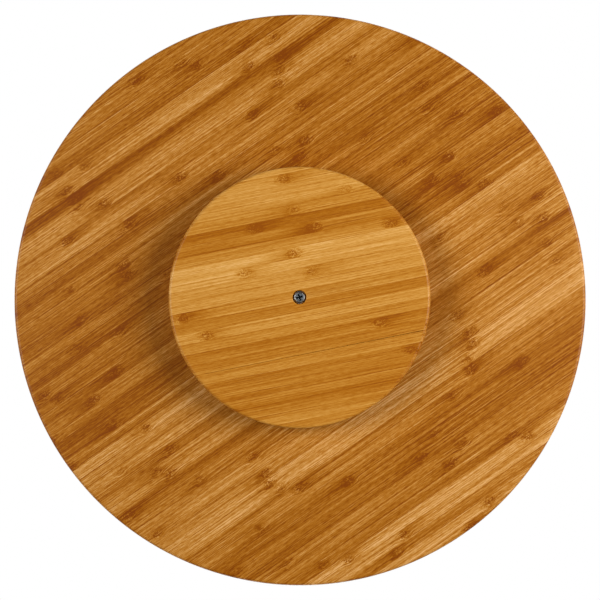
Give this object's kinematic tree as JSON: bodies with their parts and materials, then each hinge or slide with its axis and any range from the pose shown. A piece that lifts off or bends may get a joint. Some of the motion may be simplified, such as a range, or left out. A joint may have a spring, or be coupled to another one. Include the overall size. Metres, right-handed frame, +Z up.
{
  "type": "lazy susan turntable",
  "caption": "Round bamboo turntable: a large flat platter that turns freely on a ball-bearing ring above a smaller round base disc, held together by a central screw from below.",
  "frame": {"origin": "centre of the base disc's underside, which stands on the table, on the turning axis", "axes": "+Z up along the turning axis, +X along the platter's grain at rest"},
  "size_m": [0.3556, 0.3556, 0.0349],
  "materials": {
    "platter_bamboo": "carbonised laminated bamboo, sanded and oiled to a satin",
    "base_bamboo": "carbonised laminated bamboo, lighter strips, sanded and oiled to a satin",
    "pressed_steel": "cold-rolled steel, pressed",
    "bearing_steel": "polished bearing balls",
    "white_acetal": "moulded acetal",
    "zinc_plated_steel": "zinc plate, slightly worn"
  },
  "bodies": {
    "base": {"base_disc": "base_bamboo", "lower_race_ring": "pressed_steel"},
    "platter": {"platter": "platter_bamboo", "upper_race_ring": "pressed_steel", "pivot_bush": "white_acetal", "centre_screw": "zinc_plated_steel"},
    "cage": {"ball_cage": "white_acetal"},
    "ball_01": {"ball_01": "bearing_steel"},
    "ball_02": {"ball_02": "bearing_steel"},
    "ball_03": {"ball_03": "bearing_steel"},
    "ball_04": {"ball_04": "bearing_steel"},
    "ball_05": {"ball_05": "bearing_steel"},
    "ball_06": {"ball_06": "bearing_steel"},
    "ball_07": {"ball_07": "bearing_steel"},
    "ball_08": {"ball_08": "bearing_steel"},
    "ball_09": {"ball_09": "bearing_steel"},
    "ball_10": {"ball_10": "bearing_steel"},
    "ball_11": {"ball_11": "bearing_steel"},
    "ball_12": {"ball_12": "bearing_steel"},
    "ball_13": {"ball_13": "bearing_steel"},
    "ball_14": {"ball_14": "bearing_steel"},
    "ball_15": {"ball_15": "bearing_steel"},
    "ball_16": {"ball_16": "bearing_steel"}
  },
  "joints": [
    {"name": "platter_spin", "type": "hinge", "parent": "base", "child": "platter", "pos_m": [0, 0, 0.019], "axis": [0, 0, 1], "continuous": true},
    {"name": "cage_spin", "type": "hinge", "parent": "base", "child": "cage", "pos_m": [0, 0, 0.01745], "axis": [0, 0, 1], "continuous": true},
    {"name": "ball_01_roll", "type": "hinge", "parent": "cage", "child": "ball_01", "pos_m": [0.05, 0, 0.01745], "axis": [1, 0, 0], "continuous": true},
    {"name": "ball_02_roll", "type": "hinge", "parent": "cage", "child": "ball_02", "pos_m": [0.04619, 0.01913, 0.01745], "axis": [0.9239, 0.3827, 0], "continuous": true},
    {"name": "ball_03_roll", "type": "hinge", "parent": "cage", "child": "ball_03", "pos_m": [0.03536, 0.03536, 0.01745], "axis": [0.7071, 0.7071, 0], "continuous": true},
    {"name": "ball_04_roll", "type": "hinge", "parent": "cage", "child": "ball_04", "pos_m": [0.01913, 0.04619, 0.01745], "axis": [0.3827, 0.9239, 0], "continuous": true},
    {"name": "ball_05_roll", "type": "hinge", "parent": "cage", "child": "ball_05", "pos_m": [0, 0.05, 0.01745], "axis": [0, 1, 0], "continuous": true},
    {"name": "ball_06_roll", "type": "hinge", "parent": "cage", "child": "ball_06", "pos_m": [-0.01913, 0.04619, 0.01745], "axis": [-0.3827, 0.9239, 0], "continuous": true},
    {"name": "ball_07_roll", "type": "hinge", "parent": "cage", "child": "ball_07", "pos_m": [-0.03536, 0.03536, 0.01745], "axis": [-0.7071, 0.7071, 0], "continuous": true},
    {"name": "ball_08_roll", "type": "hinge", "parent": "cage", "child": "ball_08", "pos_m": [-0.04619, 0.01913, 0.01745], "axis": [-0.9239, 0.3827, 0], "continuous": true},
    {"name": "ball_09_roll", "type": "hinge", "parent": "cage", "child": "ball_09", "pos_m": [-0.05, 0, 0.01745], "axis": [-1, 0, 0], "continuous": true},
    {"name": "ball_10_roll", "type": "hinge", "parent": "cage", "child": "ball_10", "pos_m": [-0.04619, -0.01913, 0.01745], "axis": [-0.9239, -0.3827, 0], "continuous": true},
    {"name": "ball_11_roll", "type": "hinge", "parent": "cage", "child": "ball_11", "pos_m": [-0.03536, -0.03536, 0.01745], "axis": [-0.7071, -0.7071, 0], "continuous": true},
    {"name": "ball_12_roll", "type": "hinge", "parent": "cage", "child": "ball_12", "pos_m": [-0.01913, -0.04619, 0.01745], "axis": [-0.3827, -0.9239, 0], "continuous": true},
    {"name": "ball_13_roll", "type": "hinge", "parent": "cage", "child": "ball_13", "pos_m": [0, -0.05, 0.01745], "axis": [0, -1, 0], "continuous": true},
    {"name": "ball_14_roll", "type": "hinge", "parent": "cage", "child": "ball_14", "pos_m": [0.01913, -0.04619, 0.01745], "axis": [0.3827, -0.9239, 0], "continuous": true},
    {"name": "ball_15_roll", "type": "hinge", "parent": "cage", "child": "ball_15", "pos_m": [0.03536, -0.03536, 0.01745], "axis": [0.7071, -0.7071, 0], "continuous": true},
    {"name": "ball_16_roll", "type": "hinge", "parent": "cage", "child": "ball_16", "pos_m": [0.04619, -0.01913, 0.01745], "axis": [0.9239, -0.3827, 0], "continuous": true}
  ],
  "couplings": [
    {"joint": "cage_spin", "follows": "platter_spin", "ratio": 0.5},
    {"joint": "ball_01_roll", "follows": "platter_spin", "ratio": -7.874},
    {"joint": "ball_02_roll", "follows": "platter_spin", "ratio": -7.874},
    {"joint": "ball_03_roll", "follows": "platter_spin", "ratio": -7.874},
    {"joint": "ball_04_roll", "follows": "platter_spin", "ratio": -7.874},
    {"joint": "ball_05_roll", "follows": "platter_spin", "ratio": -7.874},
    {"joint": "ball_06_roll", "follows": "platter_spin", "ratio": -7.874},
    {"joint": "ball_07_roll", "follows": "platter_spin", "ratio": -7.874},
    {"joint": "ball_08_roll", "follows": "platter_spin", "ratio": -7.874},
    {"joint": "ball_09_roll", "follows": "platter_spin", "ratio": -7.874},
    {"joint": "ball_10_roll", "follows": "platter_spin", "ratio": -7.874},
    {"joint": "ball_11_roll", "follows": "platter_spin", "ratio": -7.874},
    {"joint": "ball_12_roll", "follows": "platter_spin", "ratio": -7.874},
    {"joint": "ball_13_roll", "follows": "platter_spin", "ratio": -7.874},
    {"joint": "ball_14_roll", "follows": "platter_spin", "ratio": -7.874},
    {"joint": "ball_15_roll", "follows": "platter_spin", "ratio": -7.874},
    {"joint": "ball_16_roll", "follows": "platter_spin", "ratio": -7.874}
  ]
}
